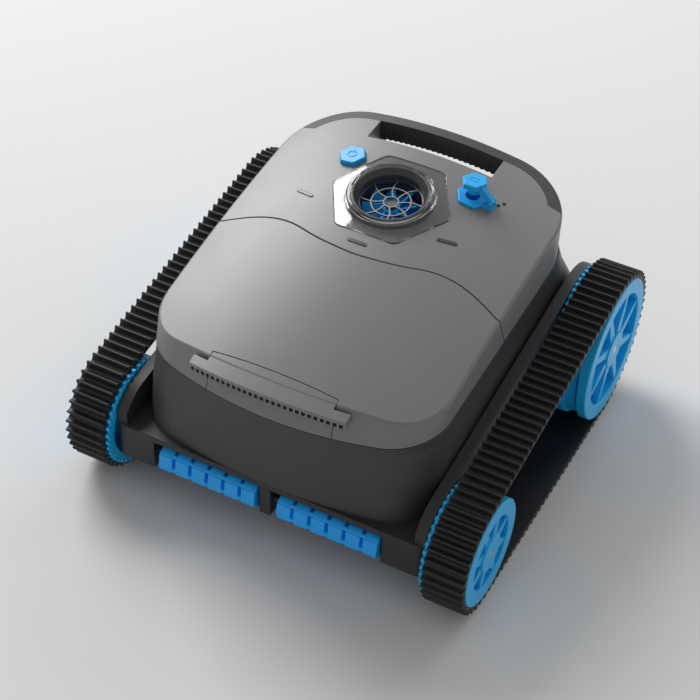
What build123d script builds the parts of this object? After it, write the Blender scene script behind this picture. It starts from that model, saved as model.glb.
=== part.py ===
"""Cordless tracked robotic pool cleaner, as separate pieces in one shared frame.

Millimetres. The origin is on the ground under the middle of the cleaner, +X is to the right when it is
seen from the front, -Y is the front with the brushes, and +Z is up.
"""

import os
from math import acos, atan2, cos, degrees, pi, radians, sin, sqrt, tan

from build123d import *

os.makedirs("parts", exist_ok=True)

# ---------------------------------------------------------------- overall sizes
overall_width = 400.0  # over the outer edges of the two belts
wheelbase = 276.5
front_wheel_r = 50.0
rear_wheel_r = 71.4
body_half_width = 141.0  # grey shells and the top of the hull
body_front = -189.6  # foremost point of the hull's upper edge
body_rear = 151.4  # rear edge of the carry handle
shell_wall = 2.6
hull_wall = 3.0
tray_wall = 3.0

# ---------------------------------------------------------------- clearances
belt_fit = 0.3  # belt's inner face over the wheels
running_fit = 0.05  # radial, a turning shaft in its bore
seat_fit = 0.02  # radial, a piece pressed on a shaft
body_gap = 0.6  # visible line between two shells
moving_gap = 0.5  # faces of different bodies
lid_gap = 1.5  # between lid and rear cover

# ---------------------------------------------------------------- belts
belt_width = 39.3
belt_core = 2.0
rib_height = 5.5
rib_pitch = 9.2
rib_tip = 1.7
rib_base = 6.4
belt_outer_x = overall_width / 2
belt_inner_x = belt_outer_x - belt_width
belt_stack = belt_fit + belt_core + rib_height
front_axle_z = front_wheel_r + belt_stack
rear_axle_z = rear_wheel_r + belt_stack
rear_axle_y = wheelbase / 2 - (rear_axle_z - front_axle_z) / 2
front_axle_y = rear_axle_y - wheelbase

# ---------------------------------------------------------------- wheels
disc_proud = 0.7  # wheel face beyond the belt's edge
disc_depth = 9.0
disc_face_x = belt_outer_x + disc_proud
hub_r = 18.3
front_rim_inner_r = 35.0
rear_rim_inner_r = 56.7
spoke_count = 8
axle_r = 4.0
drive_shaft_r = 5.0
flange_thickness = 3.4
flange_x = belt_inner_x - moving_gap - flange_thickness
flange_rise = 2.2  # toothed flange beyond the wheel's radius
flange_gap = 0.9  # flange to the tray's side wall
side_wall_x = flange_x - flange_gap  # outer face of the tray's side walls
side_wall = 6.0
cheek_inset = 1.6  # upper edge of the side walls inside the belt's loop

# ---------------------------------------------------------------- tray and beam
tray_floor_z = 30.0
beam_bottom_z = 39.5
deck_z = 76.5
beam_front = body_front - 0.5
tray_rear = 195.0
deck_half_width = 138.5  # opening in the deck
window_inner_x = 5.5
window_outer_x = 115.4
window_top_z = 71.0
bay_rear = -160.0

# ---------------------------------------------------------------- brush rollers
brush_r = 16.0
brush_core_r = 8.5
brush_y = body_front + 8.1
brush_z = 54.4
brush_length = 99.0
brush_shaft_r = 3.0
brush_bush_r = 5.0
brush_blades = 6
brush_slits = 5

# ---------------------------------------------------------------- top surface of the body
crown_apex_y = 225.4
crown_apex_z = 249.6
crown_long_r = 1458.0
crown_side_r = 476.0
crown_half_x = 172.0  # extent of the surface that the shells are cut from
crown_middle_y = -18.0
crown_half_y = 205.0
crown_depth = 150.0
crease_r = 3.0
parting_y = -184.6
parting_z = 156.0
parting_slope = 0.09
front_lean = 0.226
bow_r = 372.0
front_corner_r = 55.0
rear_corner_r = 65.0

# ---------------------------------------------------------------- handle
slot_half = 64.0
slot_front = 111.4
handle_band = 13.0
handle_end_y = 112.4
handle_depth = 20.0
band_depth = 9.0
pocket_floor_z = 188.0
scallop_pitch = 5.6
scallop_r = 2.1

# ---------------------------------------------------------------- outlet and pump
outlet_x, outlet_y = -3.0, 41.0
window_hex_r = 59.5
window_hex_round = 10.0
window_proud = 0.8
throat_r = 30.0
ring_outer_r = throat_r + 12.0
funnel_height = 5.6
funnel_flare = 4.0
ring_height = 7.2
duct_wall = 2.5
duct_length = 40.0
grille_r = throat_r - 0.5
grille_wire = 1.2
grille_hub_r = 6.8
impeller_r = throat_r - 2.5
impeller_blades = 9
pump_shaft_r = 3.0
pump_box_half = 58.0
pump_box_front = -12.0
pump_box_rear = 96.0
pump_box_bottom = 60.0
pump_box_top = 176.0
box_wall = 2.5

# ---------------------------------------------------------------- controls
button_x, button_y = -61.0, 77.4
button_hex_r = 13.4
button_proud = 4.5
button_travel = 2.0
socket_x, socket_y = 60.6, 77.9
socket_hex_r = 15.5
socket_proud = 2.8
socket_bore_r = 6.5
socket_depth = 14.0
cap_hex_r = 12.3
cap_thickness = 5.0
cap_top_z = 256.0
cap_y = 80.5
tether_x, tether_y, tether_z = 80.2, 76.6, 240.8
lamp_r = 1.7
mode_lens_length = 19.0
mode_lens_width = 3.4
mode_lens_places = [(-79.1, 18.9, -14.0), (-4.0, -21.6, 0.0), (65.3, 16.9, 14.0)]  # x, y and turn in degrees

# ---------------------------------------------------------------- lid hinge and latch
hinge_y = -12.0
hinge_z = 218.0
hinge_arm_x = 60.0
hinge_arm_width = 6.0
hinge_pin_r = 2.0
arm_inner_r = 14.0
arm_outer_r = 18.0
latch_half = 60.5
latch_rear = -172.5
latch_gap = 0.9
latch_pin_y = -172.0
latch_pin_z = 185.0
latch_pin_r = 1.5
lip_half = 75.4
lip_reach = 8.5
lip_thickness = 7.6
lip_top_solid = 3.2  # solid ledge above the grip slots

parts = {}


# ================================================================ helpers
def block(x0, x1, y0, y1, z0, z1):
    """Box between two corners."""
    return Pos((x0 + x1) / 2, (y0 + y1) / 2, (z0 + z1) / 2) * Box(x1 - x0, y1 - y0, z1 - z0)


def rod_x(radius, x0, x1, y, z):
    """Cylinder along X."""
    return Pos((x0 + x1) / 2, y, z) * Rot(0, 90, 0) * Cylinder(radius, x1 - x0)


def rod_z(radius, x, y, z0, z1):
    """Cylinder along Z."""
    return Pos(x, y, (z0 + z1) / 2) * Cylinder(radius, z1 - z0)


def side_prism(points, x0, x1):
    """Outline of (y, z) points, extruded along X."""
    face = make_face(Polyline(*points, close=True))
    return extrude(Plane.YZ.offset(x0) * face, x1 - x0)


def mirrored(shape):
    """The same piece on the other side of the cleaner."""
    return mirror(shape, about=Plane.YZ)


def on_both_sides(name, shape):
    """Write a right-hand piece and its mirror image as two nodes."""
    parts[name + "_right"] = shape
    parts[name + "_left"] = mirrored(shape)


def hexagon(radius, rounding):
    """Hexagon with vertices towards +X and -X and rounded corners."""
    face = RegularPolygon(radius, 6, major_radius=True)
    return fillet(face.vertices(), rounding)


def crown_height(x, y):
    """Height of the top surface above (x, y)."""
    side_drop = crown_side_r - sqrt(crown_side_r**2 - x**2)
    ring_r = crown_long_r - side_drop
    return crown_apex_z - crown_long_r + sqrt(ring_r**2 - (y - crown_apex_y) ** 2)


def crown_plane(x, y):
    """Plane on the top surface at (x, y), with its Z axis along the outward normal."""
    step = 0.01
    slope_x = (crown_height(x + step, y) - crown_height(x - step, y)) / (2 * step)
    slope_y = (crown_height(x, y + step) - crown_height(x, y - step)) / (2 * step)
    return Plane(origin=(x, y, crown_height(x, y)), x_dir=(1, 0, slope_x), z_dir=(-slope_x, -slope_y, 1))


def outline(half_width, front, bow, corner, rear, rear_corner):
    """Plan outline of the body: bowed front, straight sides and rear, four rounded corners."""
    bow_y = front + bow
    corner_x = half_width - corner
    corner_y = bow_y - sqrt((bow - corner) ** 2 - corner_x**2)
    reach = bow / (bow - corner)
    tangent = (corner_x * reach, bow_y + (corner_y - bow_y) * reach)
    half_angle = (atan2(tangent[1] - corner_y, tangent[0] - corner_x)) / 2
    middle = (corner_x + corner * cos(half_angle), corner_y + corner * sin(half_angle))
    rear_x = half_width - rear_corner
    rear_y = rear - rear_corner
    diagonal = rear_corner / sqrt(2)
    edges = [
        ThreePointArc((-tangent[0], tangent[1]), (0, front), tangent),
        ThreePointArc(tangent, middle, (half_width, corner_y)),
        Line((half_width, corner_y), (half_width, rear_y)),
        ThreePointArc((half_width, rear_y), (rear_x + diagonal, rear_y + diagonal), (rear_x, rear)),
        Line((rear_x, rear), (-rear_x, rear)),
        ThreePointArc((-rear_x, rear), (-rear_x - diagonal, rear_y + diagonal), (-half_width, rear_y)),
        Line((-half_width, rear_y), (-half_width, corner_y)),
        ThreePointArc((-half_width, corner_y), (-middle[0], middle[1]), (-tangent[0], tangent[1])),
    ]
    return make_face(edges)


def body_outline(z, inset):
    """Outline of the grey shells at height z, moved inwards by inset."""
    front = body_front + front_lean * (z - parting_z) + inset
    return outline(
        body_half_width - inset,
        front,
        bow_r - inset,
        front_corner_r - inset,
        body_rear - inset,
        rear_corner_r - inset,
    )


def under_crown(inset):
    """Everything under the top surface, lowered by inset along its normal."""
    side_r = crown_side_r - inset
    steps = 4
    rows = []
    for row in range(-steps, steps + 1):
        y = crown_middle_y + crown_half_y * row / steps
        points = []
        for column in range(-steps, steps + 1):
            x = crown_half_x * column / steps
            ring_r = crown_long_r - crown_side_r + sqrt(side_r**2 - x**2)
            z = crown_apex_z - crown_long_r + sqrt(ring_r**2 - (y - crown_apex_y) ** 2)
            points.append((x, y, z))
        rows.append(points)
    top = Face.make_surface_from_array_of_points(rows, tol=0.001, min_deg=3, max_deg=5)
    return extrude(top, crown_depth, dir=(0, 0, -1))


def parting_side(height, above):
    """Half space on one side of the tilted plane where hull and grey shells part."""
    plane = Plane(origin=(0, parting_y, parting_z), x_dir=(1, 0, 0), z_dir=(0, -parting_slope, 1))
    thick = 300.0
    shift = thick / 2 if above else -thick / 2
    return plane * Pos(0, 180, height + shift) * Box(700, 1000, thick)


def shell_form(inset, rounded, leaning=False):
    """Solid body of the grey shells; its front wall leans back where the lid is."""
    low_z, high_z = 130.0, 262.0
    if leaning:
        sides = loft([Pos(0, 0, z) * body_outline(z, inset) for z in (low_z, high_z)], ruled=True)
    else:
        sides = extrude(Pos(0, 0, low_z) * body_outline(parting_z, inset), high_z - low_z)
    form = sides & under_crown(inset)
    if rounded:
        rim = form.faces().sort_by(Axis.Z)[-1].edges()
        form = fillet(rim, crease_r)
    return form


# ================================================================ belts
belt_front_r = front_wheel_r + belt_fit
belt_rear_r = rear_wheel_r + belt_fit
top_run_tilt = 2 * atan2(belt_rear_r - belt_front_r, wheelbase)
valley_front_arc = (belt_front_r + belt_core) * (pi - top_run_tilt)
valley_rear_arc = (belt_rear_r + belt_core) * (pi + top_run_tilt)
valley_length = 2 * wheelbase + valley_front_arc + valley_rear_arc


def track_point(s, offset):
    """Point at length s along the belt's valleys, offset outwards from the belt's inner face."""
    s = s % valley_length
    if s < wheelbase:
        return front_axle_y + s, belt_stack - belt_fit - offset
    s -= wheelbase
    if s < valley_rear_arc:
        angle = -pi / 2 + s / (belt_rear_r + belt_core)
        radius = belt_rear_r + offset
        return rear_axle_y + radius * cos(angle), rear_axle_z + radius * sin(angle)
    s -= valley_rear_arc
    angle = pi / 2 + top_run_tilt
    if s < wheelbase:
        radius = belt_rear_r + offset
        start = (rear_axle_y + radius * cos(angle), rear_axle_z + radius * sin(angle))
        return start[0] - s * cos(top_run_tilt), start[1] - s * sin(top_run_tilt)
    s -= wheelbase
    angle += s / (belt_front_r + belt_core)
    radius = belt_front_r + offset
    return front_axle_y + radius * cos(angle), front_axle_z + radius * sin(angle)


def belt_loop(offset):
    """Filled shape of the belt's path at an offset from its inner face."""
    front = Pos(front_axle_y, front_axle_z) * Circle(belt_front_r + offset)
    rear = Pos(rear_axle_y, rear_axle_z) * Circle(belt_rear_r + offset)
    angle = pi / 2 + top_run_tilt
    ends = [
        (front_axle_y, front_axle_z, belt_front_r + offset),
        (rear_axle_y, rear_axle_z, belt_rear_r + offset),
    ]
    tops = [(y + r * cos(angle), z + r * sin(angle)) for y, z, r in ends]
    bottoms = [(y, z - r) for y, z, r in ends]
    span = make_face(Polyline(bottoms[0], bottoms[1], tops[1], tops[0], close=True))
    return front + span + rear


def make_belt():
    """Rubber belt with outward ribs; a rib stands at the middle of the bottom run."""
    count = round(valley_length / rib_pitch)
    pitch = valley_length / count
    points = []
    waist = rib_base * 0.27
    for index in range(count):
        s = wheelbase / 2 + index * pitch
        points.append(track_point(s - rib_base / 2, belt_core))
        points.append(track_point(s - waist, belt_core + rib_height * 0.35))
        points.append(track_point(s - rib_tip / 2, belt_core + rib_height))
        points.append(track_point(s + rib_tip / 2, belt_core + rib_height))
        points.append(track_point(s + waist, belt_core + rib_height * 0.35))
        points.append(track_point(s + rib_base / 2, belt_core))
    outer = side_prism(points, belt_inner_x, belt_outer_x)
    inner = extrude(Plane.YZ.offset(belt_inner_x - 1) * belt_loop(0), belt_width + 2)
    return outer - inner


on_both_sides("belt", make_belt())


# ================================================================ wheels
def wheel_disc(radius, rim_inner, y, z, bore):
    """Outer wheel disc: flat rim, hub and tapered spokes."""
    back_x = disc_face_x - disc_depth
    rim = rod_x(radius, back_x, disc_face_x, y, z)
    rim -= rod_x(rim_inner, back_x - 1, disc_face_x + 1, y, z)
    rim = chamfer(rim.edges().filter_by(GeomType.CIRCLE).group_by(Axis.X)[-1], 0.8)
    hub = rod_x(hub_r, back_x - 3, disc_face_x, y, z)
    wheel = rim + hub
    spoke_face_x = disc_face_x - 1.6
    for index in range(spoke_count):
        turn = 360 / spoke_count * (index + 0.5)
        start, end = hub_r - 3, rim_inner + 1
        half_hub, half_rim = 5.2, 2.6
        spoke_points = [(start, -half_hub), (end, -half_rim), (end, half_rim), (start, half_hub)]
        face = make_face(Polyline(*spoke_points, close=True))
        spoke = extrude(Plane.YZ.offset(back_x + 1) * face, spoke_face_x - back_x - 1)
        wheel += Pos(0, y, z) * Rot(turn, 0, 0) * spoke
    return wheel - rod_x(bore, back_x - 4, disc_face_x + 1, y, z)


def toothed_ring(count, tip_r, root_r, x0, x1, y, z):
    """Ring of square-shouldered teeth, as a full disc."""
    points = []
    for index in range(count):
        centre = 2 * pi * index / count
        step = 2 * pi / count
        for shift, radius in ((-0.30, root_r), (-0.20, tip_r), (0.20, tip_r), (0.30, root_r)):
            angle = centre + shift * step
            points.append((y + radius * cos(angle), z + radius * sin(angle)))
    return side_prism(points, x0, x1)


def sprocket(radius, y, z, bore):
    """Drum behind the disc: toothed band under the belt, waist, and toothed inner flange."""
    wall = 4.0
    web_x = disc_face_x - disc_depth - 3
    band_end_x = belt_inner_x + belt_width * 0.42
    tooth_count = round(2 * pi * radius / 7.4)
    band_start_x = flange_x + flange_thickness
    tip_r = radius + flange_rise
    flange = toothed_ring(tooth_count, tip_r, radius - 0.6, flange_x, band_start_x, y, z)
    band = toothed_ring(tooth_count, radius, radius - 2.2, band_start_x, band_end_x, y, z)
    waist = rod_x(radius - 3.5, band_end_x, web_x, y, z)
    hollow = rod_x(radius - 3.5 - wall, flange_x - 1, web_x - wall, y, z)
    hub = rod_x(bore + 5, flange_x, web_x, y, z)
    drum = flange + band + waist - hollow + hub
    return drum - rod_x(bore, flange_x - 1, web_x + 1, y, z)


front_bore = axle_r + running_fit
rear_bore = drive_shaft_r + seat_fit
front_disc = wheel_disc(front_wheel_r, front_rim_inner_r, front_axle_y, front_axle_z, front_bore)
rear_disc = wheel_disc(rear_wheel_r, rear_rim_inner_r, rear_axle_y, rear_axle_z, rear_bore)
on_both_sides("wheel_disc_front", front_disc)
on_both_sides("sprocket_front", sprocket(front_wheel_r, front_axle_y, front_axle_z, front_bore))
on_both_sides("wheel_disc_rear", rear_disc)
on_both_sides("sprocket_rear", sprocket(rear_wheel_r, rear_axle_y, rear_axle_z, rear_bore))

axle_stub = rod_x(axle_r, side_wall_x - 14, disc_face_x, front_axle_y, front_axle_z)
axle_stub = chamfer(axle_stub.edges().group_by(Axis.X)[-1], 0.8)
parts["axle_stubs"] = Compound([axle_stub, mirrored(axle_stub)])

gear_module = 1.5
gear_teeth = 36
pinion_teeth = 12
gear_backlash = 0.4
gear_x0, gear_x1 = 129.0, 137.0
pinion_y = rear_axle_y - gear_module * (gear_teeth + pinion_teeth) / 2
motor_r = 17.0
motor_shaft_r = 2.5


def gear(teeth, phase, x0, x1, y, z):
    """Involute spur gear along X, with one tooth centred at the phase angle."""
    pitch_r = gear_module * teeth / 2
    pressure = radians(20)
    base_r = pitch_r * cos(pressure)
    root_r = pitch_r - 1.2 * gear_module
    tip_r = pitch_r + 0.85 * gear_module
    radii = [root_r] + [max(base_r, root_r) + (tip_r - max(base_r, root_r)) * k / 3 for k in range(4)]
    half_at_pitch = pi / (2 * teeth) - gear_backlash / (4 * pitch_r)
    flank = []
    for radius in radii:
        angle = acos(min(1, base_r / radius))
        half = half_at_pitch + (tan(pressure) - pressure) - (tan(angle) - angle)
        flank.append((radius, half))
    points = []
    for index in range(teeth):
        centre = phase + 2 * pi * index / teeth
        for radius, half in flank:
            points.append((y + radius * cos(centre - half), z + radius * sin(centre - half)))
        for radius, half in reversed(flank):
            points.append((y + radius * cos(centre + half), z + radius * sin(centre + half)))
    return side_prism(points, x0, x1)


drive_shaft = rod_x(drive_shaft_r, gear_x0 - 3, disc_face_x, rear_axle_y, rear_axle_z)
drive_shaft = chamfer(drive_shaft.edges().group_by(Axis.X)[-1], 0.8)
on_both_sides("drive_shaft", drive_shaft)
drive_gear = gear(gear_teeth, pi, gear_x0, gear_x1, rear_axle_y, rear_axle_z)
drive_gear -= rod_x(drive_shaft_r + seat_fit, gear_x0 - 1, gear_x1 + 1, rear_axle_y, rear_axle_z)
on_both_sides("drive_gear", drive_gear)
pinion_phase = pi / pinion_teeth
motor_pinion = gear(pinion_teeth, pinion_phase, gear_x0 - 0.5, gear_x1 + 0.5, pinion_y, rear_axle_z)
motor_end_x = gear_x0 - 2
motor_pinion += rod_x(motor_shaft_r, motor_end_x - 20, gear_x0, pinion_y, rear_axle_z)
on_both_sides("motor_pinion", motor_pinion)
motor_start_x = pump_box_half + 4
drive_motor = rod_x(motor_r, motor_start_x, motor_end_x, pinion_y, rear_axle_z)
drive_motor = chamfer(drive_motor.edges(), 1.5)
drive_motor -= rod_x(motor_shaft_r + running_fit, motor_end_x - 21, motor_end_x + 1, pinion_y, rear_axle_z)
on_both_sides("drive_motor", drive_motor)
bush_r = 8.0
bush_length = 8.0
bush = rod_x(bush_r, side_wall_x - bush_length, side_wall_x, rear_axle_y, rear_axle_z)
bush -= rod_x(drive_shaft_r + running_fit, side_wall_x - 9, side_wall_x + 1, rear_axle_y, rear_axle_z)
parts["shaft_bushes"] = Compound([bush, mirrored(bush)])


# ================================================================ tray
def make_tray():
    """Lower tray: beam with two brush bays, floor, side walls that carry the axles."""
    half = side_wall_x
    inner = half - side_wall
    beam = block(-half, half, beam_front, tray_rear, beam_bottom_z, deck_z)
    beam = fillet(beam.edges().filter_by(Axis.Z), 9)
    beam = fillet(beam.faces().sort_by(Axis.Z)[-1].edges(), 1.5)
    floor_front = front_axle_y + 22
    floor = block(-inner, inner, floor_front, tray_rear - 5, tray_floor_z, beam_bottom_z + 1)
    floor = chamfer(floor.edges().filter_by(Axis.X).group_by(Axis.Z)[0], 6)
    tray = beam + floor
    cheek_x = body_half_width + 3.8
    cheek = extrude(Plane.YZ.offset(cheek_x) * belt_loop(-cheek_inset), half - cheek_x)
    cheek &= block(0, half + 1, beam_front + 3, tray_rear - 3, deck_z - 4, 300)
    cheek = fillet(cheek.faces().sort_by(Axis.X)[-1].edges(), 1.5)
    tray += cheek
    tray += mirrored(cheek)
    bay_gap = window_outer_x + tray_wall
    well_x = inner - tray_wall
    well_front = floor_front + tray_wall
    well_rear = tray_rear - 5 - tray_wall
    tray -= block(-well_x, well_x, well_front, well_rear, tray_floor_z + tray_wall, deck_z - tray_wall)
    deck_rear = tray_rear - 14
    tray -= block(-deck_half_width, deck_half_width, well_front + 6, deck_rear, deck_z - 10, deck_z + 2)
    for side in (1, -1):
        x0, x1 = sorted((side * window_inner_x, side * window_outer_x))
        tray -= block(x0, x1, beam_front - 1, bay_rear, beam_bottom_z - 1, window_top_z)
        rib_front = floor_front - tray_wall
        rib_top = deck_z - tray_wall
        tray -= block(x0, x1, bay_rear + tray_wall, rib_front, beam_bottom_z - 1, rib_top)
        x0, x1 = sorted((side * bay_gap, side * (inner - 8)))
        tray -= block(x0, x1, beam_front + tray_wall, rib_front, beam_bottom_z - 1, rib_top)
        x0, x1 = sorted((side * (side_wall_x - 14), side * (half + 1)))
        tray -= rod_x(axle_r, x0, x1, front_axle_y, front_axle_z)
        tray -= rod_x(bush_r, x0, x1, rear_axle_y, rear_axle_z)
        x0, x1 = sorted((side * (deck_half_width - 2), side * (side_wall_x - bush_length + 0.1)))
        tray -= rod_x(bush_r + 2, x0, x1, rear_axle_y, rear_axle_z)
    tray -= rod_x(brush_bush_r, -bay_gap - 1, bay_gap + 1, brush_y, brush_z)
    return tray


tray = make_tray()

mouth_x0, mouth_x1 = 25.0, 95.0
mouth_y0, mouth_y1 = -72.0, -42.0
frame_wall = 2.0
floor_top = tray_floor_z + tray_wall
for side in (1, -1):
    x0, x1 = sorted((side * mouth_x0, side * mouth_x1))
    tray -= block(x0, x1, mouth_y0, mouth_y1, tray_floor_z - 1, floor_top + 1)

# four hollow bosses that carry the sealed box
boss_r = 4.5
screw_r = 1.5
screw_points = [(x, y) for x in (-48.0, 48.0) for y in (pump_box_front + 9, pump_box_rear - 9)]
for x, y in screw_points:
    tray += rod_z(boss_r, x, y, floor_top - 1, pump_box_bottom)
for x, y in screw_points:
    tray -= rod_z(screw_r + 0.1, x, y, tray_floor_z - 1, pump_box_bottom + 1)
parts["chassis_tray"] = tray


def make_screw(x, y):
    """Pan-head screw from below, with a cross recess."""
    head = rod_z(3.2, x, y, tray_floor_z - 2.2, tray_floor_z)
    head = chamfer(head.edges().group_by(Axis.Z)[0], 0.8)
    shank = rod_z(screw_r, x, y, tray_floor_z, pump_box_bottom + 6)
    slot = block(x - 2.0, x + 2.0, y - 0.4, y + 0.4, tray_floor_z - 3, tray_floor_z - 1.2)
    cross = block(x - 0.4, x + 0.4, y - 2.0, y + 2.0, tray_floor_z - 3, tray_floor_z - 1.2)
    return head + shank - slot - cross


parts["housing_screws"] = Compound([make_screw(x, y) for x, y in screw_points])

# rubber wipers in front of and behind the suction mouths
blade_half = 118.0
blade_low = 14.0
blade_rows = [(mouth_y0 - 16, mouth_y0 - 13), (mouth_y1 + 13, mouth_y1 + 16)]
skirt = [block(-blade_half, blade_half, y0, y1, blade_low, tray_floor_z) for y0, y1 in blade_rows]
parts["skirt_blades"] = Compound(skirt)

# ---------------------------------------------------------------- suction mouths
flap_thickness = 1.5
flap_pin_r = 1.2
flap_pin_y = mouth_y0 - 5
flap_pin_z = floor_top + 3.6
flap_overlap = 2.0


def inlet_frame(side):
    """Raised frame round a mouth, with two ears for the flap's pins."""
    x0, x1 = sorted((side * mouth_x0, side * mouth_x1))
    height = 1.6
    frame = block(x0 - 4, x1 + 4, mouth_y0 - 8, mouth_y1 + 4, floor_top, floor_top + height)
    frame -= block(x0, x1, mouth_y0, mouth_y1, floor_top - 1, floor_top + height + 1)
    for x in (x0 - 3.9, x1 + 1.9):
        ear = block(x, x + 2, flap_pin_y - 2.8, flap_pin_y + 2.8, floor_top, flap_pin_z + 2.6)
        frame += ear
    return frame - rod_x(flap_pin_r + running_fit, x0 - 6, x1 + 6, flap_pin_y, flap_pin_z)


def inlet_flap(side):
    """Valve plate that closes a mouth from above, with its moulded pins."""
    x0, x1 = sorted((side * mouth_x0, side * mouth_x1))
    low = floor_top + 2.0
    plate = block(x0 - 1.5, x1 + 1.5, flap_pin_y, mouth_y1 + flap_overlap, low, low + flap_thickness)
    barrel = rod_x(1.8, x0 - 1.5, x1 + 1.5, flap_pin_y, flap_pin_z)
    plate -= block(x0 - 3, x1 + 3, flap_pin_y - 3, flap_pin_y, low - 1, flap_pin_z + 4)
    pins = rod_x(flap_pin_r, x0 - 3.9, x1 + 3.9, flap_pin_y, flap_pin_z)
    ribs = [block(x, x + 1.5, mouth_y0 - 1, mouth_y1, low, low + 4) for x in (x0 + 14, x0 + 34, x0 + 54)]
    return plate + barrel + pins + ribs[0] + ribs[1] + ribs[2]


parts["inlet_frames"] = Compound([inlet_frame(1), inlet_frame(-1)])
parts["inlet_flap_right"] = inlet_flap(1)
parts["inlet_flap_left"] = inlet_flap(-1)

# ================================================================ brushes
brush_starts = {"left": -107.0, "right": 14.5}


def brush_roller(x0):
    """Finned roller: blades along its length, cut by ring slits."""
    x1 = x0 + brush_length
    roller = rod_x(brush_core_r, x0, x1, brush_y, brush_z)
    for index in range(brush_blades):
        tip = brush_r * 0.985
        blade_points = [(4, -2.6), (brush_r * 0.82, -3.4), (tip, 0.6), (brush_r * 0.93, 2.4), (4, 3.0)]
        blade = side_prism(blade_points, x0, x1)
        roller += Pos(0, brush_y, brush_z) * Rot(360 / brush_blades * index + 20, 0, 0) * blade
    slit = 3.4
    step = brush_length / (brush_slits + 1)
    for index in range(brush_slits):
        centre = x0 + step * (index + 1)
        ring = rod_x(brush_r + 1, centre - slit / 2, centre + slit / 2, brush_y, brush_z)
        ring -= rod_x(brush_core_r + 1.5, centre - slit, centre + slit, brush_y, brush_z)
        roller -= ring
    return roller - rod_x(brush_shaft_r + seat_fit, x0 - 1, x1 + 1, brush_y, brush_z)


for name, start in brush_starts.items():
    parts["brush_" + name] = brush_roller(start)
bush_end = window_outer_x + tray_wall
parts["brush_shaft"] = rod_x(brush_shaft_r, -bush_end, bush_end, brush_y, brush_z)
brush_bush_spans = [
    (-bush_end, -window_outer_x),
    (-window_inner_x, window_inner_x),
    (window_outer_x, bush_end),
]
parts["brush_bushes"] = Compound(
    [
        rod_x(brush_bush_r, x0, x1, brush_y, brush_z)
        - rod_x(brush_shaft_r + running_fit, x0 - 1, x1 + 1, brush_y, brush_z)
        for x0, x1 in brush_bush_spans
    ]
)

# ================================================================ hull
hull_levels = [
    # height, half width, front, bow radius, corner radius, rear, rear corner radius
    (deck_z, 3.0, -0.5, 650.0, 50.0, 41.5, 50.0),
    (118.0, 2.2, -0.4, 500.0, 52.0, 39.5, 56.0),
    (150.0, 0.0, 0.0, bow_r, front_corner_r, 20.5, 62.0),
    (192.0, 0.0, 0.0, bow_r, front_corner_r, -1.5, rear_corner_r),
]


def hull_form(inset, reach):
    """Solid of the dark hull, tapering in at the rear under the handle."""
    faces = []
    for z, wider, ahead, bow, corner, behind, rear_corner in hull_levels:
        level = z
        if z == deck_z:
            level = z - reach
        faces.append(
            Pos(0, 0, level)
            * outline(
                body_half_width + wider - inset,
                body_front + ahead + inset,
                bow - inset,
                corner - inset,
                body_rear + behind - inset,
                rear_corner - inset,
            )
        )
    return loft(faces, ruled=True)


hull = hull_form(0, 0) - hull_form(hull_wall, 1)
ledge = hull_form(hull_wall - 0.5, 0) - hull_form(hull_wall + 6, 1)
ledge &= parting_side(-5.0, above=False)
ledge &= parting_side(-7.5, above=True)
hull += ledge
hull &= parting_side(0, above=False)
for side in (1, -1):
    x0, x1 = sorted((side * (deck_half_width - 4), side * (body_half_width + 8)))
    hull -= rod_x(bush_r + 2, x0, x1, rear_axle_y, rear_axle_z)
pocket_x = slot_half + 3.2
hull -= block(-pocket_x, pocket_x, slot_front - 3.2, body_rear + 20, pocket_floor_z - 3.2, 200)
parts["hull_shell"] = hull

seal = hull_form(hull_wall + 0.3, 0) - hull_form(hull_wall + 4.3, 1)
seal &= parting_side(-5.0, above=True)
seal &= parting_side(-2.6, above=False)
seal &= block(-200, 200, -210, hinge_y - 40, 100, 220)
parts["lid_seal"] = seal

# ================================================================ grey shells
outer_form = shell_form(0, rounded=True)
inner_form = shell_form(shell_wall, rounded=False)
above_parting = parting_side(body_gap, above=True)
rear_shell = (outer_form - inner_form) & above_parting
lid_form = shell_form(0, rounded=True, leaning=True)
lid_shell = (lid_form - shell_form(shell_wall, rounded=False, leaning=True)) & above_parting

seam_band_x = body_half_width - shell_wall - 1
seam_points = [
    (0, -34.6),
    (22, -32.6),
    (45, -28.1),
    (68, -20.9),
    (97, -19.3),
    (120, -24.6),
    (seam_band_x, -30.4),
]
seam_low_y = -13.1
seam_low_z = 167.0
seam_high_z = 203.0


def lid_zone(shift):
    """Everything in front of the seam between lid and rear cover, moved back by shift."""
    right = [(x, y + shift) for x, y in seam_points]
    left = [(-x, y) for x, y in reversed(right)]
    curve = Spline(*(left[:-1] + right))
    front = Polyline(right[-1], (seam_band_x, -260), (-seam_band_x, -260), left[0])
    middle = extrude(Pos(0, 0, 100) * make_face([*curve.edges(), *front.edges()]), 200)
    slant = (seam_low_y - seam_points[-1][1]) / (seam_high_z - seam_low_z)
    top_y = seam_points[-1][1] + shift
    flank_points = [
        (top_y, 300),
        (top_y, seam_high_z),
        (top_y + slant * (seam_high_z - 130), 130),
        (-260, 130),
        (-260, 300),
    ]
    flank = side_prism(flank_points, seam_band_x, seam_band_x + 30)
    return middle + flank + mirrored(flank)


# ---------------------------------------------------------------- handle
def band_zone(gap, depth):
    """U-shaped strip round the rear of the shells that the handle takes up."""
    outer = extrude(Pos(0, 0, 120) * body_outline(parting_z, -20), 160)
    inner = extrude(Pos(0, 0, 119) * body_outline(parting_z, handle_band + gap), 162)
    strip = outer - inner
    strip &= block(-200, 200, handle_end_y - gap, 300, 100, 300)
    return strip - under_crown(depth + gap)


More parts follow.
